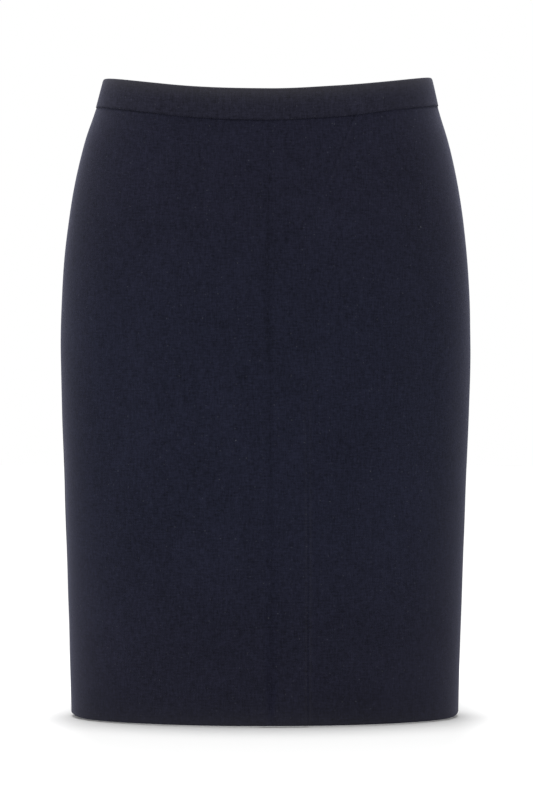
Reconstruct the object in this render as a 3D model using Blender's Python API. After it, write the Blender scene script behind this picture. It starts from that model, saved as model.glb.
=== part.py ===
"""Pencil skirt, filled out as it is worn, with no wearer inside.

Each cloth piece is cut as a flat grid, given its thickness, and bent round the form.
The form is a stack of level sections, each half an ellipse in front and half behind.
Left and right are the wearer's: left is +X. The front faces -Y and +Z is up.
The origin is the centre of the waist, level with the waist seam at the sides.
Metres throughout; angles run from the centre front (0) by the left side (90 degrees) to the back.
"""

import math
from collections import namedtuple

import bmesh
import bpy
from mathutils import Matrix, Vector

Section = namedtuple("Section", "height half_width front_depth back_depth")
Edge = namedtuple("Edge", "side_height front_dip back_dip")
Wall = namedtuple("Wall", "proud thickness")
Finish = namedtuple("Finish", "colour roughness metallic")

# The form's level sections, from the top of the waistband down to the hem.
SECTIONS = (
    Section(+0.026, 0.1526, 0.0985, 0.0945),
    Section(+0.000, 0.1588, 0.1015, 0.1005),
    Section(-0.022, 0.1658, 0.1046, 0.1070),
    Section(-0.050, 0.1734, 0.1081, 0.1150),
    Section(-0.106, 0.1833, 0.1135, 0.1270),
    Section(-0.162, 0.1887, 0.1170, 0.1345),
    Section(-0.218, 0.1905, 0.1185, 0.1365),
    Section(-0.270, 0.1898, 0.1185, 0.1347),
    Section(-0.320, 0.1878, 0.1180, 0.1317),
    Section(-0.460, 0.1829, 0.1165, 0.1238),
    Section(-0.566, 0.1796, 0.1160, 0.1190),
)

# The edges that run round the skirt: their height at the side seams, and how far they dip.
BAND_TOP = Edge(side_height=0.026, front_dip=0.0180, back_dip=0.0060)
WAIST_SEAM = Edge(side_height=0.000, front_dip=0.0215, back_dip=0.0080)
HEM = Edge(side_height=-0.566, front_dip=0.0, back_dip=0.0)

# Between layers the gap is wider than at a seam, because their flat facets don't line up.
SEAM_GAP = 0.0003
LAYER_GAP = 0.0006
PANEL = Wall(proud=0.0, thickness=0.0014)
BAND = Wall(proud=0.0006, thickness=0.0024)
UNDERLAY = Wall(proud=-(PANEL.thickness + LAYER_GAP), thickness=0.0012)
TAPE = Wall(proud=BAND.proud - BAND.thickness - LAYER_GAP, thickness=0.0010)

PANEL_COLUMNS = 12
PANEL_ROWS = 18
BAND_COLUMNS = 12
BAND_ROWS = 2

# The vent at the foot of the centre-front seam.
VENT_HEIGHT = 0.210
UNDERLAY_REACH = 0.035
UNDERLAY_SEWN = 0.010
UNDERLAY_COLUMNS = 5
UNDERLAY_ROWS = 8
HEM_CLEARANCE = 0.004

# The concealed zip at the centre back.
ZIP_LENGTH = 0.200
ZIP_SLIT = 0.0016
TAPE_WIDTH = 0.0120
TAPE_GAP = 0.0020
TAPE_BELOW_TOP = 0.003
TAPE_COLUMNS = 2
TAPE_ROWS = 14

# The slider is drawn round the hinge of its pull tab: X across, Y out of the cloth, Z up the zip.
HINGE_BELOW_TOP = 0.0080
HINGE_STANDOFF = 0.0013
EYE_HOLE_RADIUS = 0.0011
EYE_OUTER_RADIUS = 0.0020
EYE_WIDTH = 0.0010
EYE_SIDES = 24
NECK_HEIGHT = 0.0030
SLIDER_WIDTH = 0.0056
SLIDER_HEIGHT = 0.0090
SLIDER_DEPTH = 0.0026
SLIDER_ROUNDING = 0.0008

TAB_THICKNESS = 0.0012
TAB_BAR_HALF_HEIGHT = 0.0005
TAB_TOP_RADIUS = 0.00185
TAB_FOOT_RADIUS = 0.0028
TAB_LENGTH = 0.0230
TAB_WINDOW_WIDTH = 0.0017
TAB_WINDOW_HEIGHT = 0.0021
TAB_ROUND_SIDES = 24

NAVY_CLOTH = Finish(colour=(0.0105, 0.0115, 0.0225, 1.0), roughness=0.9, metallic=0.0)
NAVY_TAPE = Finish(colour=(0.0090, 0.0100, 0.0200, 1.0), roughness=0.8, metallic=0.0)
NAVY_METAL = Finish(colour=(0.0120, 0.0130, 0.0260, 1.0), roughness=0.35, metallic=0.6)

CENTRE_FRONT = 0.0
LEFT_SIDE = math.pi / 2
CENTRE_BACK = math.pi


def clear_scene():
    for obj in list(bpy.data.objects):
        bpy.data.objects.remove(obj, do_unlink=True)


def slope_at(heights, sizes, i):
    """The slope of a smooth curve through the sizes, at row i."""
    before, after = max(i - 1, 0), min(i + 1, len(sizes) - 1)
    return (sizes[after] - sizes[before]) / (heights[after] - heights[before])


def smooth_size(column, height):
    """One column of SECTIONS at any height, on a smooth curve through its rows."""
    heights = [section.height for section in SECTIONS]
    sizes = [getattr(section, column) for section in SECTIONS]
    height = min(max(height, heights[-1]), heights[0])
    i = next(n for n in range(1, len(heights)) if height >= heights[n]) - 1
    step = heights[i + 1] - heights[i]
    t = (height - heights[i]) / step
    start, end = sizes[i], sizes[i + 1]
    start_slope = slope_at(heights, sizes, i) * step
    end_slope = slope_at(heights, sizes, i + 1) * step
    bend = (start - end) * (2 * t - 3) * t * t
    return start + bend + start_slope * t * (1 - t) ** 2 - end_slope * t * t * (1 - t)


def half_axes(angle, height):
    depth = "front_depth" if math.cos(angle) > 0 else "back_depth"
    return smooth_size("half_width", height), smooth_size(depth, height)


def on_form(angle, height, proud):
    """The point of the form at this angle and height, moved level out of the cloth by proud."""
    half_width, half_depth = half_axes(angle, height)
    across, along = math.sin(angle), -math.cos(angle)
    outward = Vector((across / half_width, along / half_depth, 0.0)).normalized()
    return Vector((half_width * across, half_depth * along, height)) + outward * proud


def turn_for(distance, angle, height):
    """The angle that this distance along the cloth takes up, near the given angle."""
    half_width, half_depth = half_axes(angle, height)
    return distance / math.hypot(half_width * math.cos(angle), half_depth * math.sin(angle))


def edge_height(edge, angle):
    dip = edge.front_dip if math.cos(angle) > 0 else edge.back_dip
    return edge.side_height - dip * math.cos(angle) ** 2


def material_for(name, finish):
    material = bpy.data.materials.new(name)
    material.use_nodes = True
    shader = material.node_tree.nodes["Principled BSDF"]
    shader.inputs["Base Color"].default_value = finish.colour
    shader.inputs["Roughness"].default_value = finish.roughness
    shader.inputs["Metallic"].default_value = finish.metallic
    material.diffuse_color = finish.colour
    return material


def object_from(mesh_builder, name, finish):
    mesh = bpy.data.meshes.new(name)
    mesh_builder.to_mesh(mesh)
    mesh_builder.free()
    mesh.materials.append(material_for(name, finish))
    obj = bpy.data.objects.new(name, mesh)
    bpy.context.scene.collection.objects.link(obj)
    return obj


def cloth_piece(name, sides, heights, wall, columns, rows, finish=NAVY_CLOTH):
    """A piece of cloth between two sides and two heights, as one bent wall.

    sides is ((angle, inset), (angle, inset)): a seam's angle, and how far along the cloth the
    piece starts or stops short of it. heights is (lower, upper), each a function of the angle.
    """
    (start, start_inset), (end, end_inset) = sides
    lower, upper = heights
    flat = bmesh.new()
    bmesh.ops.create_grid(flat, x_segments=columns, y_segments=rows, size=0.5)
    bmesh.ops.translate(flat, verts=flat.verts, vec=(0.5, 0.5, 0.0))
    sheet = list(flat.faces)
    inner = bmesh.ops.extrude_face_region(flat, geom=sheet, use_keep_orig=True)["geom"]
    inner = [item for item in inner if isinstance(item, bmesh.types.BMVert)]
    bmesh.ops.translate(flat, verts=inner, vec=(0.0, 0.0, -wall.thickness))
    for vert in flat.verts:
        across, up, depth = vert.co
        angle = start + (end - start) * across
        height = lower(angle) + (upper(angle) - lower(angle)) * up
        first = start + turn_for(start_inset, start, height)
        last = end - turn_for(end_inset, end, height)
        angle = first + (last - first) * across
        vert.co = on_form(angle, height, wall.proud + depth)
    bmesh.ops.recalc_face_normals(flat, faces=flat.faces)
    obj = object_from(flat, name, finish)
    obj.data.shade_smooth()
    obj.data.set_sharp_from_angle(angle=math.radians(35))
    return obj


def mirrored_pair(make, name, start, end):
    """The left piece as given, and the right one, which is the same cut turned over."""
    make(name + "_left", (start, end))
    (start_angle, start_inset), (end_angle, end_inset) = start, end
    make(name + "_right", ((-end_angle, end_inset), (-start_angle, start_inset)))


def make_panel(name, sides):
    def foot(angle):
        return edge_height(HEM, angle)

    def head(angle):
        return edge_height(WAIST_SEAM, angle) - SEAM_GAP / 2

    return cloth_piece(name, sides, (foot, head), PANEL, PANEL_COLUMNS, PANEL_ROWS)


def make_band(name, sides, columns=BAND_COLUMNS):
    def foot(angle):
        return edge_height(WAIST_SEAM, angle) + SEAM_GAP / 2

    def head(angle):
        return edge_height(BAND_TOP, angle)

    return cloth_piece(name, sides, (foot, head), BAND, columns, BAND_ROWS)


def make_underlay():
    """The strip behind the vent: sewn behind the right panel, and reaching behind the left one."""
    middle = HEM.side_height + VENT_HEIGHT / 2
    sewn = (-turn_for(UNDERLAY_SEWN, CENTRE_FRONT, middle), 0.0)
    free = (turn_for(UNDERLAY_REACH, CENTRE_FRONT, middle), 0.0)

    def foot(_angle):
        return HEM.side_height + HEM_CLEARANCE

    def head(_angle):
        return HEM.side_height + VENT_HEIGHT

    counts = (UNDERLAY_COLUMNS, UNDERLAY_ROWS)
    return cloth_piece("vent_underlay", (sewn, free), (foot, head), UNDERLAY, *counts)


def make_zip_tape(name, sides):
    def foot(_angle):
        return edge_height(BAND_TOP, CENTRE_BACK) - ZIP_LENGTH

    def head(_angle):
        return edge_height(BAND_TOP, CENTRE_BACK) - TAPE_BELOW_TOP

    return cloth_piece(name, sides, (foot, head), TAPE, TAPE_COLUMNS, TAPE_ROWS, NAVY_TAPE)


def hinge_place():
    """Where the pull tab's hinge is: on the centre back, standing out from the waistband."""
    top = edge_height(BAND_TOP, CENTRE_BACK)
    foot = edge_height(WAIST_SEAM, CENTRE_BACK)
    rise = on_form(CENTRE_BACK, top, BAND.proud) - on_form(CENTRE_BACK, foot, BAND.proud)
    lean = math.atan2(-rise.y, rise.z)
    turn = Matrix.Rotation(lean, 4, "X")
    on_band = on_form(CENTRE_BACK, top - HINGE_BELOW_TOP, BAND.proud)
    outward = turn @ Vector((0.0, HINGE_STANDOFF, 0.0))
    return Matrix.Translation(on_band + outward) @ turn


def joined(target, other):
    modifier = target.modifiers.new("join " + other.name, "BOOLEAN")
    modifier.operation = "UNION"
    modifier.object = other
    hide_tool(other)


def cut(target, other):
    modifier = target.modifiers.new("cut " + other.name, "BOOLEAN")
    modifier.operation = "DIFFERENCE"
    modifier.object = other
    hide_tool(other)


def hide_tool(obj):
    obj.hide_render = True
    obj.display_type = "WIRE"


def block(name, size, centre, finish, rounding=0.0):
    builder = bmesh.new()
    bmesh.ops.create_cube(builder, size=1.0)
    bmesh.ops.scale(builder, verts=builder.verts, vec=size)
    bmesh.ops.translate(builder, verts=builder.verts, vec=centre)
    if rounding:
        bmesh.ops.bevel(
            builder,
            geom=builder.edges,
            offset=rounding,
            affect="EDGES",
            segments=2,
            profile=0.5,
            material=-1,
        )
    return object_from(builder, name, finish)


def disc(name, radius, width, finish):
    """A disc on the hinge's axis, which runs along X."""
    builder = bmesh.new()
    bmesh.ops.create_cone(
        builder,
        cap_ends=True,
        segments=EYE_SIDES,
        radius1=radius,
        radius2=radius,
        depth=width,
        matrix=Matrix.Rotation(math.pi / 2, 4, "Y"),
    )
    return object_from(builder, name, finish)


def make_slider(place):
    """The slider: a body behind the tapes, and a neck through the slit that ends in an eye."""
    behind_tapes = -HINGE_STANDOFF - BAND.proud + TAPE.proud - TAPE.thickness - SEAM_GAP
    middle = behind_tapes - SLIDER_DEPTH / 2
    size = (SLIDER_WIDTH, SLIDER_DEPTH, SLIDER_HEIGHT)
    slider = block("zip_slider", size, (0.0, middle, 0.0), NAVY_METAL, SLIDER_ROUNDING)
    neck_foot = middle
    neck_tip = -(EYE_HOLE_RADIUS + EYE_OUTER_RADIUS) / 2
    neck_size = (EYE_WIDTH, neck_tip - neck_foot, NECK_HEIGHT)
    neck_middle = (0.0, (neck_tip + neck_foot) / 2, 0.0)
    neck = block("slider neck", neck_size, neck_middle, NAVY_METAL)
    eye = disc("slider eye", EYE_OUTER_RADIUS, EYE_WIDTH, NAVY_METAL)
    hole = disc("slider eye hole", EYE_HOLE_RADIUS, EYE_WIDTH * 2, NAVY_METAL)
    joined(slider, neck)
    joined(slider, eye)
    cut(slider, hole)
    for piece in (slider, neck, eye, hole):
        piece.matrix_world = place
    return slider


def make_pull_tab(place):
    """The pull tab: a teardrop plate whose top bar turns in the slider's eye."""
    top_centre = TAB_BAR_HALF_HEIGHT - TAB_TOP_RADIUS
    foot_centre = TAB_BAR_HALF_HEIGHT - TAB_LENGTH + TAB_FOOT_RADIUS
    builder = bmesh.new()
    for radius, height in ((TAB_TOP_RADIUS, top_centre), (TAB_FOOT_RADIUS, foot_centre)):
        for face in (-TAB_THICKNESS / 2, TAB_THICKNESS / 2):
            at = Matrix.Translation((0.0, face, height)) @ Matrix.Rotation(math.pi / 2, 4, "X")
            bmesh.ops.create_circle(builder, segments=TAB_ROUND_SIDES, radius=radius, matrix=at)
    hull = bmesh.ops.convex_hull(builder, input=builder.verts)
    inside = [item for item in hull["geom_interior"] if isinstance(item, bmesh.types.BMVert)]
    bmesh.ops.delete(builder, geom=inside, context="VERTS")
    bmesh.ops.recalc_face_normals(builder, faces=builder.faces)
    tab = object_from(builder, "zip_pull_tab", NAVY_METAL)
    window_size = (TAB_WINDOW_WIDTH, TAB_THICKNESS * 2, TAB_WINDOW_HEIGHT)
    window_middle = (0.0, 0.0, -TAB_BAR_HALF_HEIGHT - TAB_WINDOW_HEIGHT / 2)
    window = block("tab window", window_size, window_middle, NAVY_METAL)
    cut(tab, window)
    for piece in (tab, window):
        piece.matrix_world = place
    return tab


def make_skirt():
    half_gap = SEAM_GAP / 2
    half_slit = ZIP_SLIT / 2
    front = (CENTRE_FRONT, half_gap)
    side_of_front = (LEFT_SIDE, half_gap)
    side_of_back = (LEFT_SIDE, half_gap)
    mirrored_pair(make_panel, "front_panel", front, side_of_front)
    mirrored_pair(make_panel, "back_panel", side_of_back, (CENTRE_BACK, half_gap))
    make_band("waistband_front", ((-LEFT_SIDE, half_gap), side_of_front), BAND_COLUMNS * 2)
    mirrored_pair(make_band, "waistband_back", side_of_back, (CENTRE_BACK, half_slit))
    make_underlay()
    level = edge_height(BAND_TOP, CENTRE_BACK) - ZIP_LENGTH / 2
    tape_start = CENTRE_BACK - turn_for(TAPE_WIDTH + TAPE_GAP / 2, CENTRE_BACK, level)
    tape_sides = ((tape_start, 0.0), (CENTRE_BACK, TAPE_GAP / 2))
    mirrored_pair(make_zip_tape, "zip_tape", *tape_sides)
    place = hinge_place()
    make_slider(place)
    make_pull_tab(place)


clear_scene()
make_skirt()
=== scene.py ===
"""The looks of the pencil skirt: cloth, zip and finishes, on the form that the frame gives.

Metres throughout. The front faces -Y, left is the wearer's left (+X), and +Z is up.
Each piece of cloth is cut flat as a grid and bent round the form. A place on the form is a
distance along the cloth from the centre of its half, a height, and a depth behind the form's
face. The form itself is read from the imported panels, along their seams.
"""

import math
from collections import namedtuple

import bmesh
import bpy
import numpy as np
from mathutils import Matrix, Vector


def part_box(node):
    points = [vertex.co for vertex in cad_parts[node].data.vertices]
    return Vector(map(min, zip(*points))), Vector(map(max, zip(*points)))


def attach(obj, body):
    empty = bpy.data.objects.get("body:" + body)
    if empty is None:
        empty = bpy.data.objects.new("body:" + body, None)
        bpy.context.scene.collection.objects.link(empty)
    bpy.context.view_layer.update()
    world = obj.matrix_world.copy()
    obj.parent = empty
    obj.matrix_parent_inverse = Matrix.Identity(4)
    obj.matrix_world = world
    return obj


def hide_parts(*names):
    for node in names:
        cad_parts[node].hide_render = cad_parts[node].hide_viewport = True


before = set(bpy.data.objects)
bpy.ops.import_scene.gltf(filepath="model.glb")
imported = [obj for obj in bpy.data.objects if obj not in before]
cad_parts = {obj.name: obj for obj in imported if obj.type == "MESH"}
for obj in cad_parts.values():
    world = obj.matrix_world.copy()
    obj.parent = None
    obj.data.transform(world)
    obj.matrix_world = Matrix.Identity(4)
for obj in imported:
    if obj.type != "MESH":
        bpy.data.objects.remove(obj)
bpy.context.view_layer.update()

# Cloth
CLOTH = 0.0007  # thickness of one layer
LAYER_STEP = 0.0008  # from one layer to the next behind it
FOLD_RADIUS = LAYER_STEP / 2
FOLD_STEPS = 6
CLOTH_SHARP = math.radians(50)
SEAM_HALF_GAP = 0.00005
SEAM_MARGIN = 0.012  # pressed open behind each panel
VENT_FACING = 0.031
HEM_MARGIN = 0.035
HEM_PADDING = (0.002, 0.016)  # how far past a seam margin it pads the hem, and fades out
NEAR_SEAM = 0.0012  # how near a seam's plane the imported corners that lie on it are
MESH_STEP = 0.0031
MIDDLE_ANGLE = 0.7  # between a panel's two seams

# Columns of the mesh beside each seam, dart and ledge.
SEAM_STOPS = (0.0006, 0.0014, 0.0025, 0.0040, 0.0060)
DART_STOPS = (0.0010, 0.0020, 0.0032, 0.0050)
LEDGE_STOPS = (0.0009, 0.0019, 0.0030, 0.0048)

# Waist seam and waistband
BAND_PROUD = 0.0006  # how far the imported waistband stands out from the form
BAND_FACE = -BAND_PROUD + CLOTH / 2  # depth of the middle of its outer layer
BAND_BACK = 0.0018 - CLOTH / 2  # and of its inner layer
BAND_TURN = (BAND_BACK - BAND_FACE) / 2
BAND_ROLL = 0.0022  # how tall the soft fold along its top is
BAND_LEAN = 0.0013  # how far its top leans in
BAND_EDGE_RADIUS = 0.00035
BAND_CLEAR = 0.00015  # between the panels' seam line and its lower edge
BAND_HANGS = 0.0008  # how much lower its inner layer reaches
BAND_WAVE = 0.00015  # how uneven its face is
BAND_TOP_HIGHLIGHT = 0.26  # how strong the painted highlight along its top fold is
BAND_SHADE = 0.06  # painted shade along its lower edge at the waist seam, how dark
SEAM_DITCH = 0.00055  # how much deeper the panels lie along the waist seam
DITCH_REACH = 0.0034
DITCH_BEGINS = 0.0008
RELIEF_ENDS = 0.001  # where the panels' relief begins to fade out under the waistband
DITCH_SHARE = {1: 0.66, -1: 0.88}  # how much of it the left and the right half show
DITCH_EASES = (1.10, 1.50)  # the angles between which half of it goes, towards the sides
# how dark the painted shade in the panels' ditch along the waist seam is
DITCH_SHADE = 0.05
TUCKED_IN = 0.0045  # how far the panels run up inside the waistband

# Vent, darts and zip
VENT_HEIGHT = 0.210
VENT_EASE = (-0.006, 0.014)  # above that, where its facing begins to narrow and is a margin
LEDGE = 0.0331  # where the underlay ends behind the left panel, from the centre
UNDERLAY_DEPTH = 0.00245
UNDERLAY_MARGIN = 0.008
UNDERLAY_HEM_MARGIN = HEM_MARGIN - 0.004
UNDERLAY_HEM_RADIUS = FOLD_RADIUS * 1.9
UNDERLAY_STEP = 0.0019  # how much deeper its foot lies, clear of the panels' hems
UNDERLAY_STEP_FADES = (0.036, 0.062)  # above the hem, where it comes forward again
TAPE = 0.0006
TAPE_DEPTH = 0.0027
TAPE_RIM = 0.0003  # how much deeper its edge lies under the teeth
TAPE_FOLLOWS = 0.8  # how much of the panels' relief the tapes share
TOOTH = (0.0021, 0.0009, 0.0009)
TOOTH_PITCH = 0.0014
TOOTH_ASIDE = 0.00055
TOOTH_ROUNDING = 0.00022
TEETH_BEGIN = 0.001  # below the slider's foot
TEETH_END = 0.008  # above the tapes' foot
STOP = (0.0042, 0.0015, 0.0040)
STOP_UP = 0.006
STOP_ROUNDING = 0.0004
ZIP_SHARP = math.radians(35)
METAL_WELD = 0.000002
METAL_ROUNDING = 0.00018

# Camera
CAMERA_DISTANCE = 3.2
EYE_ABOVE_HEM = 0.2925
CAMERA_ASIDE = 0.0006
CAMERA_ROUND = math.radians(-2.2)  # to the wearer's right of straight in front
CAMERA_LENS = 154.8
CAMERA_ROLL = math.radians(0.15)

# Studio
FLOOR_TONE = 0.554
FLOOR_PAINTED_LIGHT = 0.32  # painted light round the skirt's foot, which lifts away the skirt's shadow on the floor beside it
FLOOR_OVAL = (0.172, 0.360)  # the half sizes of the square-shouldered oval it keeps clear of
FLOOR_PALES = (0.93, 1.28)  # how many ovals out that begins and is complete
FLOOR_FADES = (1.60, 2.60)  # and where it fades out again
FLOOR_BELOW = 0.0012
FLOOR_RADIUS = 12.0

# Finishes
THREAD_PITCH = 0.00062
WEAVE_BUMP = 0.00004
OVERLOCK = (0.0036, 0.0040)  # how far in from a raw edge its stitches stop
OVERLOCK_PITCH = 0.0013
TAPE_RIB_PITCH = 0.0024
TAPE_TWILL_PITCH = 0.00045
NAVY = (0.0090, 0.0092, 0.0178)
MIDWAY_NAVY = (0.0089, 0.0098, 0.0194)  # halfway up the skirt, where the dye took a little bluer
MIDWAY_DOWN = 0.30  # below the waist seam
MIDWAY_FADES = (0.06, 0.24)
BAND_NAVY = (0.0118, 0.0118, 0.0202)
PAINTED_HIGHLIGHT_GREY = (0.060, 0.058, 0.060)  # the pale grey of painted highlights on raised marks, the hem and the waistband's top
LINT = (0.075, 0.078, 0.088)
OVERLOCK_NAVY = (0.016, 0.018, 0.034)
TAPE_NAVY = (0.0085, 0.0098, 0.0210)
NYLON_NAVY = (0.0100, 0.0112, 0.0225)
ENAMEL_NAVY = (0.0120, 0.0130, 0.0260)
WORN_ENAMEL = (0.090, 0.095, 0.110)
SHEEN = 0.138
BAND_SHEEN = 0.110
SHEEN_TINT = (0.735, 0.745, 1.0)
HIGHLIGHT_PER_RISE = 85.0  # share of painted highlight for each metre that a mark stands proud
SHADE_PER_SINK = 260.0  # and share of painted shade for each metre that it is sunk

Crease = namedtuple("Crease", "across height length width slant rise")
Groove = namedtuple("Groove", "up depth width")
Dart = namedtuple("Dart", "top foot length shows")
Lie = namedtuple("Lie", "across seam top")
Wander = namedtuple("Wander", "up aside")
Stripe = namedtuple("Stripe", "beside rise width")
Noise = namedtuple("Noise", "across along seed detail roughness strength")
Lamp = namedtuple("Lamp", "name strength softness aside behind")
Half = namedtuple("Half", "facing depth seam_dip top_dip seam darts creases hang_phase pucker_phase")

# Darts: how far their top and foot are from the centre seam, their length down the cloth, and how
# clearly each shows. Those of a half are given by side, 1 for the left and -1 for the right.
FRONT_DARTS = {
    1: Dart(top=0.0786, foot=0.0459, length=0.078, shows=1.0),
    -1: Dart(top=0.0765, foot=0.0505, length=0.078, shows=0.55),
}
BACK_DART = Dart(top=0.082, foot=0.074, length=0.105, shows=1.0)
DART_DIP = 0.66  # the share of the waist seam's dip that there is where the darts meet it
DART_RUNS_OUT = (-0.004, 0.030)  # above its foot, where its mark begins and is complete
DART_HOLLOW = Stripe(0, -0.00060, 0.009)
DART_HOLLOW_LENGTH = 0.014

# The ridges and grooves across a dart's line, and across the edge of the vent's underlay.
DART_SECTION = (
    Stripe(+0.0027, +0.00034, 0.0011),
    Stripe(-0.0021, +0.00020, 0.0010),
    Stripe(+0.0004, -0.00046, 0.0011),
)
LEDGE_SECTION = (
    Stripe(+0.0019, +0.000620, 0.0010),
    Stripe(-0.0019, +0.000527, 0.0010),
    Stripe(0, -0.000220, 0.0009),
)

# How the worn waist lies off level: metres across towards the left, and how far the waist seam
# and the waistband's top are lifted there. It fades out towards the centre back.
WAIST_LIES = (
    Lie(-0.160, seam=-0.0030, top=-0.0026),
    Lie(-0.095, seam=-0.0012, top=-0.0020),
    Lie(0.000, seam=+0.0001, top=-0.0007),
    Lie(0.060, seam=+0.0012, top=+0.0004),
    Lie(0.112, seam=+0.0021, top=+0.0003),
    Lie(0.160, seam=+0.0002, top=+0.0002),
)
WAIST_FADES = (-0.090, -0.010)  # the heights where the lift begins and is complete
BAND_BEGINS = -0.015  # the height where it starts to turn from the seam's to the top's
WAIST_SWAY = 0.0011  # how far the waist sits towards the left
SWAY_BEGINS = -0.030
TOWARDS_BACK = (0.0, 0.085)  # the depths between which lift and sway fade out

HEM_LIFT = 0.0022  # how far the side seams draw the hem up
HEM_LIFT_REACH = 0.030
HEM_KICK = 0.0003  # how far the hem stands out at the sides, and how much more in the middle
HEM_KICK_MIDDLE = 0.0007
HEM_KICK_WIDTH = 0.15
HEM_KICK_REACH = 0.009
HEM_HIGHLIGHTS = ((0.035, 0.080), (0.075, 0.008))  # painted highlights up from the hem: how strong each is, and how far up it fades

# How the centre-front seam wanders towards the left, from the hem up.
FRONT_WANDERS = (
    Wander(0.045, +0.0013),
    Wander(0.140, +0.0012),
    Wander(0.280, 0.0000),
    Wander(0.405, -0.0029),
    Wander(0.505, -0.0020),
    Wander(0.570, -0.0014),
)
WANDER_REACH = 0.075  # how far the cloth beside the seam goes with it
WANDER_FRONT = (0.0, 0.060)  # how far in front of the sides that begins and is complete

# The ripple along a seam: waves' rates in radians a metre, shifts and sizes.
PUCKERS = ((410, 1.0, 1.0), (653, 2.3, 0.6), (227, -1.0, 0.5))
PUCKER_HEIGHT = 0.00005
PUCKER_REACH = 0.007
HANG_HEIGHT = 0.00030  # of the slow waves in which the cloth hangs

# The grooves of the centre seams, from the hem up.
FRONT_SEAM = (
    Groove(0.000, 0.00036, 0.0040),
    Groove(0.070, 0.00036, 0.0036),
    Groove(0.190, 0.00038, 0.0024),
    Groove(0.325, 0.00042, 0.0018),
    Groove(0.350, 0.00066, 0.0034),
    Groove(0.440, 0.00066, 0.0034),
    Groove(0.462, 0.00026, 0.0036),
    Groove(0.540, 0.00022, 0.0034),
)
BACK_SEAM = (
    Groove(0.000, 0.00040, 0.0038),
    Groove(0.160, 0.00046, 0.0024),
    Groove(0.330, 0.00062, 0.0030),
    Groove(0.372, 0.00040, 0.0020),
    Groove(0.540, 0.00034, 0.0016),
)

# How clearly the underlay's ledge shows through the left panel, from the hem up.
LEDGE_SHOWS = ((0.00, 1.0), (0.19, 1.0), (0.22, 0.6), (0.28, 0.6), (0.31, 0.35), (0.43, 0.1))

# Soft troughs (rise below 0) and ridges: metres across from the centre seam
# towards the left, metres above the hem, half length, half width, degrees clockwise from upright.
FRONT_CREASES = (
    Crease(0.108, 0.500, 0.034, 0.0060, -34, +0.00080),
    Crease(0.121, 0.486, 0.030, 0.0080, -36, -0.00070),
    Crease(0.060, 0.470, 0.012, 0.0110, 10, -0.00090),
    Crease(-0.060, 0.472, 0.012, 0.0100, -8, -0.00090),
    Crease(-0.112, 0.505, 0.030, 0.0085, 30, -0.00060),
    Crease(-0.140, 0.330, 0.090, 0.0220, 5, -0.00100),
    Crease(0.150, 0.300, 0.110, 0.0200, -4, -0.00090),
    Crease(0.082, 0.190, 0.120, 0.0260, 2, +0.00080),
    Crease(-0.075, 0.150, 0.100, 0.0240, -3, +0.00080),
    Crease(0.006, 0.055, 0.032, 0.0090, 4, -0.00050),
)
BACK_CREASES = (
    Crease(0.100, 0.492, 0.034, 0.0075, 36, -0.00070),
    Crease(-0.110, 0.485, 0.030, 0.0070, -33, -0.00080),
    Crease(-0.062, 0.440, 0.016, 0.0120, 12, -0.00100),
    Crease(0.071, 0.436, 0.014, 0.0110, -9, -0.00090),
    Crease(0.045, 0.352, 0.050, 0.0090, 74, -0.00100),
    Crease(-0.052, 0.331, 0.042, 0.0100, -70, -0.00110),
    Crease(-0.135, 0.260, 0.100, 0.0210, -5, -0.00100),
    Crease(0.128, 0.200, 0.120, 0.0230, 4, +0.00100),
    Crease(0.012, 0.120, 0.080, 0.0140, -3, -0.00080),
)

# What makes the navy uneven: cells a metre across and along the cut, and how much each shows.
WARP_SLUB = Noise(840, 140, 2.3, 1.0, 0.50, 0.85)
WEFT_SLUB = Noise(150, 680, 7.9, 1.0, 0.50, 0.85)
GRAIN = Noise(580, 580, 4.4, 1.0, 0.50, 0.72)
MOTTLE = Noise(66, 56, 1.2, 3.0, 0.60, 0.34)
CLOUD = Noise(16, 12, 5.5, 1.0, 0.50, 0.36)
NEPS = (150, 80)  # cells a metre across a nep's thread and along it
NEP_SIZE = 0.072
FEW_NEPS = 0.62
LINT_CELLS = (34, 26)
LINT_SIZE = 0.022
LITTLE_LINT = 0.86
RAGGED = 0.0012  # how ragged the outlines of neps and lint are
NEP_SHOWS = 0.36
LINT_SHOWS = 0.7
SLUB_BULK = 0.9  # in threads' heights
GRAIN_BULK = 0.5
OVERLOCK_BULK = 2.5

# In degrees, softness is the width of a lamp's disc, and aside and behind its slants to +X and +Y.
LAMPS = (
    Lamp("overhead", strength=2.0, softness=14, aside=0.0, behind=6.0),
    Lamp("front", strength=0.95, softness=40, aside=-12.0, behind=-18.0),
    Lamp("side", strength=0.30, softness=60, aside=-76.0, behind=-60.0),
)


# ---------------- the form


def points_of(node):
    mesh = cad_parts[node].data
    places = np.empty(len(mesh.vertices) * 3, np.float32)
    mesh.vertices.foreach_get("co", places)
    return places.reshape(-1, 3).astype(float)


def seam_profile(node, seam_axis, size_axis, proud=0.0):
    """The heights and sizes of a node's outer face down the seam where seam_axis is about 0."""
    places = points_of(node)
    places = places[np.abs(places[:, seam_axis]) < NEAR_SEAM]
    level = np.round(places[:, 2], 5)
    heights = np.unique(level)
    sizes = [np.abs(places[level == height, size_axis]).max() - proud for height in heights]
    return heights, np.array(sizes)


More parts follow.
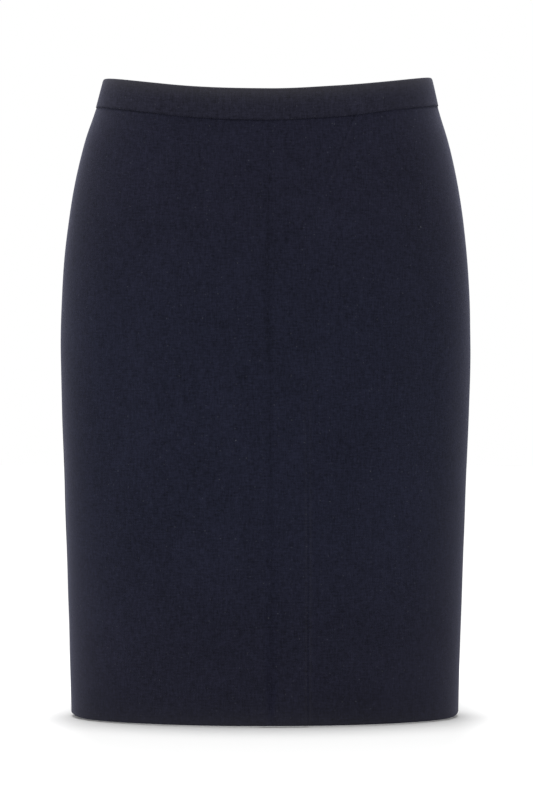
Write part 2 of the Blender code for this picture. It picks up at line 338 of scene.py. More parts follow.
class Profile:
    """A smooth curve of size against height, which runs on straight past both ends."""

    def __init__(self, panel, band, seam_axis, size_axis):
        heights, sizes = seam_profile(panel, seam_axis, size_axis)
        band_heights, band_sizes = seam_profile(band, seam_axis, size_axis, BAND_PROUD)
        self.heights = np.append(heights, band_heights[1:])
        self.sizes = np.append(sizes, band_sizes[1:])
        self.slopes = np.gradient(self.sizes, self.heights)

    def __call__(self, height):
        inside = np.clip(height, self.heights[0], self.heights[-1])
        i = np.clip(np.searchsorted(self.heights, inside) - 1, 0, len(self.heights) - 2)
        step = self.heights[i + 1] - self.heights[i]
        t = (inside - self.heights[i]) / step
        start, end = self.sizes[i], self.sizes[i + 1]
        start_pull, end_pull = self.slopes[i] * step, self.slopes[i + 1] * step
        curve = start + (end - start) * t * t * (3 - 2 * t)
        curve += start_pull * t * (1 - t) ** 2 - end_pull * t * t * (1 - t)
        end_slope = np.where(height > inside, self.slopes[-1], self.slopes[0])
        return curve + (height - inside) * end_slope


def dip_of(node, edge):
    """How far an edge of a waistband piece dips from the side seams to the centre."""
    places = points_of(node)
    middle = places[np.abs(places[:, 0]) < NEAR_SEAM, 2]
    side = places[np.abs(places[:, 1]) < NEAR_SEAM, 2]
    return edge(side) - edge(middle)


half_width = Profile("front_panel_left", "waistband_front", 1, 0)
FRONT = Half(
    facing=-1,
    depth=Profile("front_panel_left", "waistband_front", 0, 1),
    seam_dip=dip_of("waistband_front", min),
    top_dip=dip_of("waistband_front", max),
    seam=FRONT_SEAM,
    darts=FRONT_DARTS,
    creases=FRONT_CREASES,
    hang_phase=0.4,
    pucker_phase=0.0,
)
BACK = Half(
    facing=1,
    depth=Profile("back_panel_left", "waistband_back_left", 0, 1),
    seam_dip=dip_of("waistband_back_left", min),
    top_dip=dip_of("waistband_back_left", max),
    seam=BACK_SEAM,
    darts={1: BACK_DART, -1: BACK_DART},
    creases=BACK_CREASES,
    hang_phase=2.1,
    pucker_phase=1.3,
)
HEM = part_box("front_panel_left")[0][2]
WAIST_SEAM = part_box("front_panel_left")[1][2]
BAND_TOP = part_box("waistband_front")[1][2]

SLIT_HALF = float(np.abs(points_of("waistband_back_left")[:, 0]).min())

GAUSS_PLACES, GAUSS_WEIGHTS = np.polynomial.legendre.leggauss(8)


def arc_length(angle, width, depth):
    """The length along half an oval of these half sizes, from its centre to the angle."""
    angles = np.asarray(angle)[..., None] * (GAUSS_PLACES + 1) / 2
    speed = np.hypot(
        np.asarray(width)[..., None] * np.cos(angles),
        np.asarray(depth)[..., None] * np.sin(angles),
    )
    return (speed * GAUSS_WEIGHTS).sum(-1) * angle / 2


def quarter_length(half, height):
    return arc_length(math.pi / 2, half_width(height), half.depth(height))


def angle_at(half, distance, height):
    """The angle from the centre at which the cloth is this distance from it."""
    width, depth = half_width(height), half.depth(height)
    angle = distance / arc_length(math.pi / 2, width, depth) * math.pi / 2
    for _ in range(4):
        speed = np.hypot(width * np.cos(angle), depth * np.sin(angle))
        angle = angle - (arc_length(angle, width, depth) - distance) / speed
    return angle


def place_on(half, distance, height, depth):
    """The points at these distances, heights and depths, level in from the form's face."""
    angle = angle_at(half, distance, height)
    width, reach = half_width(height), half.depth(height)
    across, along = np.sin(angle), np.cos(angle) * half.facing
    out_across, out_along = across / width, along / reach
    size = np.hypot(out_across, out_along)
    x = width * across - depth * out_across / size
    y = reach * along - depth * out_along / size
    return np.stack([x, y, height], axis=-1)


def smooth(value, start, end):
    """0 at start and 1 at end, with no kink at either."""
    t = np.clip((value - start) / (end - start), 0, 1)
    return t * t * (3 - 2 * t)


# ---------------- relief of the worn cloth


def bell(value, width):
    return np.exp(-((value / width) ** 2))


def eased(value, stops, amounts):
    """The amount at a value, eased from one stop to the next."""
    stops, amounts = np.array(stops), np.array(amounts)
    i = np.clip(np.searchsorted(stops, value) - 1, 0, len(stops) - 2)
    share = smooth(value, stops[i], stops[i + 1])
    return amounts[i] + (amounts[i + 1] - amounts[i]) * share


def worn(places):
    """The points moved as wearing moves them: the waist off level and the centre seam off line."""
    x, y, z = places[..., 0], places[..., 1], places[..., 2]
    from_back = 1 - smooth(y, *TOWARDS_BACK)
    across, seam_lift, top_lift = zip(*WAIST_LIES)
    up_band = smooth(z, BAND_BEGINS, BAND_TOP)
    lift = eased(x, across, seam_lift) * (1 - up_band) + eased(x, across, top_lift) * up_band
    lift *= smooth(z, *WAIST_FADES) * from_back
    up = np.maximum(z - HEM, 0)
    lift += HEM_LIFT * bell(y, HEM_LIFT_REACH) * np.exp(-up / HEM_LIFT_REACH)
    aside = WAIST_SWAY * smooth(z, SWAY_BEGINS, BAND_TOP) * from_back
    aside += eased(up, *zip(*FRONT_WANDERS)) * bell(x, WANDER_REACH) * smooth(-y, *WANDER_FRONT)
    return np.stack([x + aside, y, z + lift], axis=-1)


def creases(table, across, up):
    """The rise of the soft creases in a table, at places across and up from the hem's centre."""
    rise = np.zeros_like(across)
    for crease in table:
        lean = math.radians(crease.slant)
        aside = across - crease.across
        above = up - crease.height
        along = above * math.cos(lean) + aside * math.sin(lean)
        beside = aside * math.cos(lean) - above * math.sin(lean)
        rise += crease.rise * bell(beside, crease.width) * bell(along, crease.length)
    return rise


def pucker(distance, up, phase):
    """The small uneven ripple that stitching leaves along a seam, fading out away from it."""
    ripple = sum(size * np.sin(up * rate + phase * shift) for rate, shift, size in PUCKERS)
    return PUCKER_HEIGHT * ripple * bell(distance, PUCKER_REACH)


def hang(across, up, phase):
    """The slow, shallow unevenness of hanging cloth, from crossed waves that never line up."""
    wave = np.sin(across * 39 + up * 7 + phase) * np.sin(up * 11 - phase)
    wave += 0.6 * np.sin(across * 71 - up * 17 + phase * 1.7)
    wave += 0.35 * np.sin(across * 23 + up * 83 + phase * 0.6) * np.sin(across * 57)
    return HANG_HEIGHT * wave


def groove(table, distance, up):
    """A seam's groove, as deep and as wide at each height as its table says."""
    ups, depths, widths = zip(*table)
    return -np.interp(up, ups, depths) * bell(distance, np.interp(up, ups, widths))


def dart_start(half):
    """The height above the hem of the waist seam where the darts meet it."""
    return WAIST_SEAM - half.seam_dip * DART_DIP - HEM


def dart_line(up, seam, dart):
    """How far a dart is from the centre, at a height above the hem."""
    up_dart = np.clip((up - (seam - dart.length)) / dart.length, 0, 1)
    return dart.foot + (dart.top - dart.foot) * up_dart


def section(stripes, beside):
    """The rise of a section's ridges and grooves, at a distance beside its line."""
    return sum(stripe.rise * bell(beside - stripe.beside, stripe.width) for stripe in stripes)


def dart_mark(distance, up, seam, dart):
    """A stitched dart: a narrow groove between two pressed folds, which runs out at its foot."""
    shows = smooth(up - (seam - dart.length), *DART_RUNS_OUT) * dart.shows
    return shows * section(DART_SECTION, distance - dart_line(up, seam, dart))


def dart_hollow(distance, up, seam, dart):
    """The soft hollow at a dart's foot."""
    hollow = section([DART_HOLLOW], distance - dart_line(up, seam, dart))
    return hollow * bell(up - (seam - dart.length), DART_HOLLOW_LENGTH)


def hem_mark(distance, up):
    """The hem kicks out a little at its foot, least at the sides."""
    kick = HEM_KICK + HEM_KICK_MIDDLE * bell(distance, HEM_KICK_WIDTH)
    return kick * np.exp(-np.maximum(up, 0) / HEM_KICK_REACH)


def rub_of(marks):
    """Painted highlight along raised marks, or below 0 painted shade in grooves."""
    return np.where(marks > 0, marks * HIGHLIGHT_PER_RISE, marks * SHADE_PER_SINK)


def vented(half, side):
    """Whether the vent's facing and underlay lie behind this panel."""
    return half is FRONT and side > 0


def marks_of(half, distance, height, side):
    """The narrow raised and sunk marks of a half: its seam, darts and hem, and the front's vent."""
    up = height - HEM
    marks = groove(half.seam, distance, up) + hem_mark(distance, up)
    marks += dart_mark(distance, up, dart_start(half), half.darts[side])
    if vented(half, side):
        shows = np.interp(up, *zip(*LEDGE_SHOWS))
        marks += shows * section(LEDGE_SECTION, distance - LEDGE)
    return marks


def relief_of(half, distance, height, side):
    """How far the cloth stands proud of the form, or below 0 how far it is sunk."""
    across, up = distance * side, height - HEM
    rise = creases(half.creases, across, up) + hang(across, up, half.hang_phase)
    rise += pucker(distance, up, half.pucker_phase) + marks_of(half, distance, height, side)
    return rise + dart_hollow(distance, up, dart_start(half), half.darts[side])


# ---------------- cloth cut and folded


class Cut(namedtuple("Cut", "distance height depth across along margin rub")):
    """A piece of cloth as rows and columns of places: where each goes, and where it was cut.

    distance, height and depth say where on the form a place goes. across and along are its place
    in the flat cut, margin is its distance from the nearest raw edge, and the last field is painted
    light: a painted highlight, or below 0 painted shade.
    """

    def flat_size(self):
        """The width, length and area of the flat cut."""
        widths = np.abs(self.across[:, -1] - self.across[:, 0])
        steps = np.abs(np.diff(self.along.mean(axis=1)))
        area = float((steps * (widths[1:] + widths[:-1]) / 2).sum())
        return (float(widths.max()), float(steps.sum())), area


def spread(stops, counts):
    """Columns in every row: counts[n] even steps from stops[n] to stops[n + 1]."""
    columns = [stops[0][:, None]]
    for start, end, count in zip(stops, stops[1:], counts):
        share = np.arange(1, count + 1) / count
        columns.append(start[:, None] + (end - start)[:, None] * share)
    return np.hstack(columns)


def steps_for(length):
    return max(1, round(length / MESH_STEP))


def spread_evenly(stops):
    """Columns in every row, with steps of about MESH_STEP or less between the stops."""
    counts = [steps_for(float((b - a).max())) for a, b in zip(stops, stops[1:])]
    return spread(stops, counts)


def fold_at_start(first, margin):
    """Columns from a raw edge to the fold where the face begins: distance, turn and cut."""
    count = steps_for(float(margin.max()))
    back = margin[:, None] * (1 - np.arange(count) / count)
    turns = np.linspace(math.pi, 0, FOLD_STEPS + 1)
    fold = first[:, None] - FOLD_RADIUS * np.sin(turns)
    distance = np.hstack([first[:, None] + back, fold])
    turn = np.append(np.full(count, math.pi), turns)
    behind = first[:, None] - FOLD_RADIUS * math.pi - back
    cut = np.hstack([behind, first[:, None] - FOLD_RADIUS * turns])
    return distance, turn, cut


def folded_columns(face, start_margin, end_margin):
    """Columns of a face with its margins folded behind it; no margin leaves its start raw."""
    distance, turn, cut = face, np.zeros(face.shape[1]), face
    if start_margin is not None:
        before = fold_at_start(face[:, 0], start_margin)
        distance = np.hstack([before[0], distance[:, 1:]])
        turn = np.append(before[1], turn[1:])
        cut = np.hstack([before[2], cut[:, 1:]])
    after = fold_at_start(-face[:, -1], end_margin)
    distance = np.hstack([distance[:, :-1], -after[0][:, ::-1]])
    turn = np.append(turn[:-1], after[1][::-1])
    cut = np.hstack([cut[:, :-1], -after[2][:, ::-1]])
    return distance, turn, cut


Rows = namedtuple("Rows", "turn turned_up share past")


def hemmed_rows(face_length, hem_margin, past):
    """Rows from the raw edge of the turned-up hem, round its fold and up the face.

    turn is the angle round the fold, turned_up the distance up behind it, share the way up the
    face, and past the distance beyond the top of the face.
    """
    count = steps_for(hem_margin)
    turned_up = hem_margin * (1 - np.arange(count) / count)
    turns = np.linspace(math.pi, 0, FOLD_STEPS + 1)
    share = np.arange(1, steps_for(face_length) + 1) / steps_for(face_length)
    lengths = [count, len(turns), len(share), len(past)]
    total = sum(lengths)
    rows = Rows(*(np.zeros(total) for _ in range(4)))
    a, b, c = np.cumsum(lengths)[:3]
    rows.turn[:a] = math.pi
    rows.turn[a:b] = turns
    rows.turned_up[:a] = turned_up
    rows.share[b:c] = share
    rows.share[c:] = 1
    rows.past[c:] = past
    return rows


def hem_thickening(face_start, face_end, distance, margins):
    """1 where seam margins lie in the hem and pad it out, 0 away from them."""
    from_start = distance - face_start[:, None]
    from_end = face_end[:, None] - distance
    padded = np.zeros_like(distance)
    for away, margin in ((from_start, margins[0]), (from_end, margins[1])):
        reach = margin[:, None] + HEM_PADDING[0]
        padded = np.maximum(padded, 1 - smooth(away, reach, reach + HEM_PADDING[1]))
    return padded


def folded_depth(column_turn, row_turn, hem_radius):
    """How deep a place lies behind the face, through seam folds, the hem's fold, or both."""
    seam = FOLD_RADIUS * (1 - np.cos(column_turn))[None, :]
    turned = (1 - np.cos(row_turn))[:, None]
    return hem_radius * turned + seam * (1 - turned)


def around(middle, steps):
    """Stops on a line and at these steps to either side of it."""
    before = [middle - step for step in reversed(steps)]
    return before + [middle] + [middle + step for step in steps]


def stops_between(half, side, height):
    """Stops beside a panel's dart, straight on down below it, and beside the ledge of a vent."""
    line = dart_line(height - HEM, dart_start(half), half.darts[side])
    if not vented(half, side):
        return around(line, DART_STOPS)
    return around(np.full_like(height, LEDGE), LEDGE_STOPS) + around(line, DART_STOPS)


def centre_margin(half, side, height):
    """The width of a panel's margin at the centre, which is a wider facing in a vent."""
    if not vented(half, side):
        return np.full_like(height, SEAM_MARGIN)
    in_vent = 1 - smooth(height - HEM - VENT_HEIGHT, *VENT_EASE)
    return SEAM_MARGIN + (VENT_FACING - SEAM_MARGIN) * in_vent


def panel_cut(half, side):
    """One quarter of the skirt: its face, seam margins, hem and the edge inside the waistband."""
    past = DITCH_REACH * np.linspace(0, 1, 7)[1:]
    past = np.append(past, DITCH_REACH + TUCKED_IN * np.linspace(0, 1, 4)[1:])
    rows = hemmed_rows(WAIST_SEAM - HEM, HEM_MARGIN, past)
    lowest = HEM + CLOTH / 2

    def heights(angle, hem_radius):
        foot = lowest + hem_radius
        head = WAIST_SEAM - half.seam_dip * np.cos(angle) ** 2 - DITCH_REACH
        turn, turned_up, share, beyond = (column[:, None] for column in rows)
        return foot - hem_radius * np.sin(turn) + turned_up + share * (head - foot) + beyond

    level = np.full((len(rows.turn), 1), FOLD_RADIUS)
    side_height = heights(np.full_like(level, math.pi / 2), level)[:, 0]
    middle_height = heights(np.full_like(level, MIDDLE_ANGLE), level)[:, 0]
    quarter = quarter_length(half, side_height)
    first = np.full_like(quarter, SEAM_HALF_GAP + FOLD_RADIUS)
    last = quarter - SEAM_HALF_GAP - FOLD_RADIUS
    stops = [first] + [first + step for step in SEAM_STOPS]
    stops += stops_between(half, side, middle_height)
    stops += [last - step for step in reversed(SEAM_STOPS)] + [last]
    face = spread_evenly(stops)
    margins = (centre_margin(half, side, middle_height), np.full_like(quarter, SEAM_MARGIN))
    distance, turn, cut = folded_columns(face, *margins)

    padded = hem_thickening(first, last, distance, margins)
    hem_radius = FOLD_RADIUS * (1 + 2 * padded)
    angle = distance / quarter[:, None] * math.pi / 2
    for _ in range(2):
        height = heights(angle, hem_radius)
        angle = angle_at(half, distance, height)
    depth = CLOTH / 2 + folded_depth(turn, rows.turn, hem_radius)
    ditch = smooth(rows.past, DITCH_BEGINS, DITCH_REACH)[:, None]
    ditch = ditch * DITCH_SHARE[side] * (1 - 0.5 * smooth(angle, *DITCH_EASES))
    depth += SEAM_DITCH * ditch
    settled = 1 - smooth(rows.past, RELIEF_ENDS, DITCH_REACH)[:, None]
    depth -= relief_of(half, distance, height, side) * settled
    # Painted highlight on raised marks and painted shade in grooves, from how far each mark rises or
    # sinks.
    rub = rub_of(marks_of(half, distance, height, side)) * settled
    up = np.maximum(height - HEM, 0)
    # Painted highlight up from the hem: broad and faint, then strong at the fold.
    rub += sum(pale * np.exp(-up / reach) for pale, reach in HEM_HIGHLIGHTS)
    # Painted shade along the waist seam's ditch.
    rub -= DITCH_SHADE * ditch

    along = height - hem_radius * rows.turn[:, None] - 2 * rows.turned_up[:, None]
    from_centre = cut - cut[:, :1]
    from_side = cut[:, -1:] - cut
    margin = np.minimum(np.minimum(from_centre, from_side), along - along[:1])
    return Cut(distance * side, height, depth, cut * side, along, margin, rub)


# ---------------- making pieces


def collect(obj):
    bpy.context.scene.collection.objects.link(obj)
    return obj


def finished(obj):
    """The object with its modifiers applied, shaded smooth between its sharp edges."""
    evaluated = obj.evaluated_get(bpy.context.evaluated_depsgraph_get())
    mesh = bpy.data.meshes.new_from_object(evaluated)
    mesh.name = obj.name
    obj.modifiers.clear()
    obj.data = mesh
    mesh.shade_smooth()
    mesh.set_sharp_from_angle(angle=CLOTH_SHARP)
    return obj


def add_part(piece):
    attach(piece, "skirt")


def mesh_piece(name, builder, material):
    mesh = bpy.data.meshes.new(name)
    bmesh.ops.recalc_face_normals(builder, faces=builder.faces)
    builder.to_mesh(mesh)
    builder.free()
    mesh.shade_smooth()
    mesh.set_sharp_from_angle(angle=ZIP_SHARP)
    mesh.materials.append(material)
    return collect(bpy.data.objects.new(name, mesh))


def cloth(name, half, cut, material, thickness=CLOTH):
    """A thin shell of cloth from its cut, bent round half of the form."""
    rows, columns = cut.distance.shape
    builder = bmesh.new()
    bmesh.ops.create_grid(builder, x_segments=columns - 1, y_segments=rows - 1, size=0.5)
    mesh = bpy.data.meshes.new(name)
    builder.to_mesh(mesh)
    builder.free()
    flat = np.empty(len(mesh.vertices) * 3, np.float32)
    mesh.vertices.foreach_get("co", flat)
    flat = flat.reshape(-1, 3) + 0.5
    column = np.rint(flat[:, 0] * (columns - 1)).astype(int)
    row = np.rint(flat[:, 1] * (rows - 1)).astype(int)
    places = worn(place_on(half, cut.distance, cut.height, cut.depth))[row, column]
    mesh.vertices.foreach_set("co", places.astype(np.float32).ravel())

    corner = np.empty(len(mesh.loops), np.int32)
    mesh.loops.foreach_get("vertex_index", corner)
    cut_place = np.stack([cut.across, cut.along], axis=-1)[row, column][corner]
    mesh.uv_layers.new(name="cut").uv.foreach_set("vector", cut_place.astype(np.float32).ravel())
    for measure, values in (("margin", cut.margin), ("rub", cut.rub)):
        attribute = mesh.attributes.new(measure, "FLOAT", "POINT")
        attribute.data.foreach_set("value", values[row, column].astype(np.float32))
    mesh.materials.append(material)

    obj = collect(bpy.data.objects.new(name, mesh))
    shell = obj.modifiers.new("thickness", "SOLIDIFY")
    shell.thickness = thickness
    shell.offset = 0
    return finished(obj)


def hand_over(piece, node, cut):
    """Attaches a sheet to the skirt's body and hides the node it stands for; the size it was cut to
    is worked out, but not kept.
    """
    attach(piece, "skirt")
    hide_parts(node)
    flat, area = cut.flat_size()


# ---------------- panels


def make_panels(material):
    for name, half in (("front", FRONT), ("back", BACK)):
        for side_name, side in (("left", 1), ("right", -1)):
            node = name + "_panel_" + side_name
            cut = panel_cut(half, side)
            piece = cloth(node + "_cloth", half, cut, material)
            hand_over(piece, node, cut)


# ---------------- waistband


def band_section():
    """Rows round the section of the doubled waistband, from one turned-under edge to the other.

    lean is the angle that the cloth has turned through over the top, depth how far it lies behind
    the form's face, share the way up the band, and lift the height above that.
    """
    edge = BAND_EDGE_RADIUS
    rows = []
    for turn in np.linspace(math.pi / 2, 0, 4):
        rows.append((0, BAND_FACE + edge * (1 - math.cos(turn)), 0, edge * (1 - math.sin(turn))))
    for share in np.linspace(0, 1, 16)[1:-1]:
        rows.append((0, BAND_FACE, share, edge * (1 - share)))
    for turn in np.linspace(0, math.pi, 13):
        depth = BAND_FACE + BAND_TURN * (1 - math.cos(turn))
        rows.append((turn, depth, 1, BAND_ROLL * math.sin(turn)))
    for share in np.linspace(1, 0, 9)[1:-1]:
        rows.append((math.pi, BAND_BACK, share, -BAND_HANGS * (1 - share)))
    for turn in np.linspace(0, math.pi / 2, 4):
        depth = BAND_BACK - edge * (1 - math.cos(turn))
        rows.append((math.pi, depth, 0, -BAND_HANGS - edge * math.sin(turn)))
    return (np.array(column)[:, None] for column in zip(*rows))


def band_cut(half, ends):
    """A waistband piece, between two ends: -1 and 1 are the side seams and 0 is the zip's slit."""
    lean, depth, share, lift = band_section()

    def heights(angle):
        foot = WAIST_SEAM + CLOTH / 2 + BAND_CLEAR - half.seam_dip * np.cos(angle) ** 2
        head = BAND_TOP - CLOTH / 2 - BAND_ROLL - half.top_dip * np.cos(angle) ** 2
        return foot + share * (head - foot) + lift

    side_height = heights(np.full_like(share, math.pi / 2))[:, 0]
    to_side = quarter_length(half, side_height) - SEAM_HALF_GAP
    slit = np.full_like(to_side, SLIT_HALF * sum(ends))
    first, last = (end * to_side if end else slit for end in ends)
    first, last = first + FOLD_RADIUS, last - FOLD_RADIUS
    face = spread_evenly([first, first + 0.001, last - 0.001, last])
    turns = np.linspace(math.pi / 2, 0, 4)[:-1]
    before = first[:, None] - FOLD_RADIUS * np.sin(turns)
    after = last[:, None] + FOLD_RADIUS * np.sin(turns[::-1])
    distance = np.hstack([before, face, after])
    turn = np.concatenate([turns, np.zeros(face.shape[1]), turns[::-1]])
    rolled_in = FOLD_RADIUS * (1 - np.cos(turn))[None, :]

    angle = distance / to_side[:, None] * math.pi / 2
    for _ in range(3):
        height = heights(angle)
        angle = angle_at(half, distance, height)
    height = height - rolled_in * np.sin(lean)
    depth = depth + rolled_in * np.cos(lean)
    depth = depth + BAND_LEAN * (0.2 + 0.8 * np.cos(angle) ** 2) * share**3
    depth = depth - BAND_WAVE * np.sin(distance * 61 + 0.8) * np.sin(height * 90)
    steps = np.hypot(
        np.diff(height, axis=0, prepend=height[:1]), np.diff(depth, axis=0, prepend=depth[:1])
    )
    # Painted light on the band: a painted highlight along its top fold, and painted shade along its
    # lower edge.
    rub = BAND_TOP_HIGHLIGHT * share**3.5 - BAND_SHADE * bell(share, 0.05) + np.zeros_like(distance)
    far_from_edges = np.full_like(height, 1.0)
    return Cut(distance, height, depth, distance, np.cumsum(steps, axis=0), far_from_edges, rub)


def make_waistband(material):
    pieces = (
        ("waistband_front", FRONT, (-1, 1), ["front_panel_left", "front_panel_right"]),
        ("waistband_back_left", BACK, (0, 1), ["back_panel_left"]),
        ("waistband_back_right", BACK, (-1, 0), ["back_panel_right"]),
    )
    for node, half, ends, rests_on in pieces:
        cut = band_cut(half, ends)
        piece = cloth(node + "_cloth", half, cut, material)
        hand_over(piece, node, cut)


# ---------------- vent underlay and zip


def make_underlay(material):
    """The strip behind the vent, hemmed, with its free edge folded under the left panel."""
    low, high = (Vector(corner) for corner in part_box("vent_underlay"))
    rows = hemmed_rows(high.z - low.z, UNDERLAY_HEM_MARGIN, np.zeros(0))
    count = len(rows.turn)
    turn, turned_up, share, _ = (column[:, None] for column in rows)
    foot = low.z + CLOTH / 2 + FOLD_RADIUS
    height = foot - FOLD_RADIUS * np.sin(turn) + turned_up + share * (high.z - foot)
    first = np.full(count, low.x)
    last = np.full(count, LEDGE - FOLD_RADIUS)
    face = spread_evenly([first, last - 0.002, last])
    distance, column_turn, cut = folded_columns(face, None, np.full(count, UNDERLAY_MARGIN))
    height = np.broadcast_to(height, distance.shape).copy()
    radius = np.full_like(distance, UNDERLAY_HEM_RADIUS)
    depth = UNDERLAY_DEPTH + folded_depth(column_turn, rows.turn, radius)
    up = height - HEM
    depth += UNDERLAY_STEP * (1 - smooth(up, *UNDERLAY_STEP_FADES))
    depth -= creases(FRONT.creases, distance, up) + hang(distance, up, FRONT.hang_phase)
    along = height - FOLD_RADIUS * turn - 2 * turned_up
    margin = np.minimum(np.minimum(cut - cut[:, :1], cut[:, -1:] - cut), along - along[:1])
    margin = np.minimum(margin, high.z - height + 0.0005)
    piece_cut = Cut(distance, height, depth, cut, along, margin, np.zeros_like(height))
    piece = cloth("vent_underlay_cloth", FRONT, piece_cut, material)
    hand_over(piece, "vent_underlay", piece_cut)


def make_tapes(material):
    """The zip's two tapes, which lie behind the centre-back edges."""
    for node, sign in (("zip_tape_left", 1), ("zip_tape_right", -1)):
        low, high = (Vector(corner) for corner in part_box(node))
        near = min(abs(low.x), abs(high.x))
        far = max(abs(low.x), abs(high.x))
        levels = np.linspace(low.z, high.z, steps_for(high.z - low.z) + 1)
        columns = np.linspace(near, far, 7)
        distance, height = np.meshgrid(columns, levels)
        rim = bell(distance - near, 0.0012)
        relief = relief_of(BACK, distance, height, sign)
        depth = TAPE_DEPTH + TAPE_RIM * rim - relief * TAPE_FOLLOWS
        across = distance * sign
        plain = np.zeros_like(height)
        cut = Cut(across, height, depth, across, height, plain + 1, plain)
        piece = cloth(node + "_cloth", BACK, cut, material, TAPE)
        hand_over(piece, node, cut)


def rounded_blocks(centres, size, offset, segments):
    """Small blocks with rounded edges, as one mesh in the making."""
    builder = bmesh.new()
    for centre in centres:
        at = Matrix.Translation(Vector(centre)) @ Matrix.Diagonal((*size, 1.0))
        bmesh.ops.create_cube(builder, size=1.0, matrix=at)
    bmesh.ops.bevel(
        builder,
        geom=builder.edges[:],
        offset=offset,
        affect="EDGES",
        segments=segments,
        profile=0.5,
        material=-1,
    )
    return builder


def make_teeth(teeth_material, stop_material):
    """The closed zip's two rows of teeth, from the slider down, and the bottom stop."""
    slider_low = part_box("zip_slider")[0][2]
    tape_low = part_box("zip_tape_left")[0][2]
    heights = np.arange(slider_low - TEETH_BEGIN, tape_low + TEETH_END, -TOOTH_PITCH / 2)
    heights = np.append(heights, tape_low + STOP_UP)
    centres = place_on(BACK, np.zeros_like(heights), heights, np.full_like(heights, TAPE_DEPTH))
    for side, sign in (("left", 1), ("right", -1)):
        row = centres[:-1][sign < 0 :: 2] + np.array([TOOTH_ASIDE * sign, 0, 0])
        builder = rounded_blocks(row, TOOTH, TOOTH_ROUNDING, 1)
        add_part(mesh_piece("zip_teeth_" + side, builder, teeth_material))
    stop = rounded_blocks(centres[-1:], STOP, STOP_ROUNDING, 2)
    add_part(mesh_piece("zip_bottom_stop", stop, stop_material))


def make_zip(tape_finish, teeth_finish, metal_finish):
    make_tapes(tape_finish)
    make_teeth(teeth_finish, metal_finish)
    for node in ("zip_slider", "zip_pull_tab"):
        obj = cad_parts[node]
        for slot in obj.material_slots:
            slot.material = metal_finish
        weld = obj.modifiers.new("weld", "WELD")
        weld.merge_threshold = METAL_WELD
        rounding = obj.modifiers.new("worn edges", "BEVEL")
        rounding.width = METAL_ROUNDING
        rounding.segments = 2
        rounding.limit_method = "ANGLE"
        rounding.angle_limit = math.radians(40)


# ---------------- finishes


class Wire:
    """A shader socket that takes part in arithmetic, which adds Math nodes to its finish."""

    def __init__(self, finish, socket):
        self.finish = finish
        self.socket = socket

    def math(self, operation, *others):
        values = {0: self}
        values.update({i + 1: other for i, other in enumerate(others)})
        return self.finish.node("ShaderNodeMath", {"operation": operation}, values)[0]

    def __add__(self, other):
        return self.math("ADD", other)

    def __mul__(self, other):
        return self.math("MULTIPLY", other)

    def __sub__(self, other):
        return self.math("SUBTRACT", other)

    def __rsub__(self, other):
        return (self * -1.0).math("ADD", other)

    def __truediv__(self, other):
        return self.math("DIVIDE", other)

    def __pow__(self, other):
        return self.math("POWER", other)

    __radd__ = __add__
    __rmul__ = __mul__

    def wave(self, pitch):
        """A wave from -1 to 1, which crosses 0 once in every pitch."""
        return (self * (math.pi / pitch)).math("SINE")

    def ridges(self, pitch):
        """Rounded ridges at this pitch: 0 in each furrow and 1 on each crest."""
        return self.wave(pitch).math("ABSOLUTE")

    def over(self, start, end):
        """0 at or below start and 1 at or above end, with a smooth slope between."""
        settings = {"interpolation_type": "SMOOTHSTEP"}
        values = {"Value": self, "From Min": start, "From Max": end}
        return self.finish.node("ShaderNodeMapRange", settings, values)[0]


class Finish:
    """A material in the making."""

    def __init__(self, name):
        self.material = bpy.data.materials.new(name)
        self.material.use_nodes = True
        self.tree = self.material.node_tree
        self.tree.nodes.clear()

    def node(self, kind, settings=None, values=None):
        """Adds a node with its settings and socket values, and gives its outputs as wires."""
        node = self.tree.nodes.new(kind)
        for name, value in (settings or {}).items():
            setattr(node, name, value)
        for name, value in (values or {}).items():
            if isinstance(value, Wire):
                self.tree.links.new(value.socket, node.inputs[name])
            else:
                node.inputs[name].default_value = value
        return [Wire(self, socket) for socket in node.outputs]

    def cut_place(self):
        """The place in the flat cut, in metres across and along the cloth."""
        place = self.node("ShaderNodeUVMap", {"uv_map": "cut"})[0]
        return self.node("ShaderNodeSeparateXYZ", values={"Vector": place})[:2]

    def attribute(self, name):
        return self.node("ShaderNodeAttribute", {"attribute_name": name})[2]

    def noise(self, x, y, z=0.0, detail=2.0, roughness=0.5):
        place = self.node("ShaderNodeCombineXYZ", values={"X": x, "Y": y, "Z": z})[0]
        values = {"Vector": place, "Scale": 1.0, "Detail": detail, "Roughness": roughness}
        return self.node("ShaderNodeTexNoise", values=values)[0]

    def grain(self, scale, detail=2.0):
        """Noise in the round, for a piece with no flat cut."""
        place = self.node("ShaderNodeTexCoord")[3]
        values = {"Vector": place, "Scale": scale, "Detail": detail}
        return self.node("ShaderNodeTexNoise", values=values)[0]

    def flecks(self, x, y, size, few):
        """Scattered specks, one in each cell that is picked, some of them faint and some strong."""
        place = self.node("ShaderNodeCombineXYZ", values={"X": x, "Y": y})[0]
        settings = {"voronoi_dimensions": "2D"}
        cell = self.node("ShaderNodeTexVoronoi", settings, {"Vector": place, "Scale": 1.0})
        pick, strength, _ = self.node("ShaderNodeSeparateColor", values={"Color": cell[1]})
        covered = 1.0 - cell[0].over(size * 0.5, size)
        return covered * pick.over(few, few + 0.01) * (strength**5 * 0.8 + 0.2)

    def shaded(self, colour, shade):
        """A colour made lighter or darker by a factor."""
        values = {0: colour, "Scale": shade}
        return self.node("ShaderNodeVectorMath", {"operation": "SCALE"}, values)[0]

    def mixed(self, share, first, second):
        values = {0: share, 6: first, 7: second}
        return self.node("ShaderNodeMix", {"data_type": "RGBA"}, values)[2]

    def bump(self, height, distance):
        values = {"Height": height, "Distance": distance, "Strength": 1.0}
        return self.node("ShaderNodeBump", values=values)[0]

    def surface(self, **values):
        named = {name.replace("_", " "): value for name, value in values.items()}
        shader = self.node("ShaderNodeBsdfPrincipled", values=named)[0]
        self.node("ShaderNodeOutputMaterial", values={"Surface": shader})
        return self.material


def rgba(colour):
    return (*colour, 1.0)


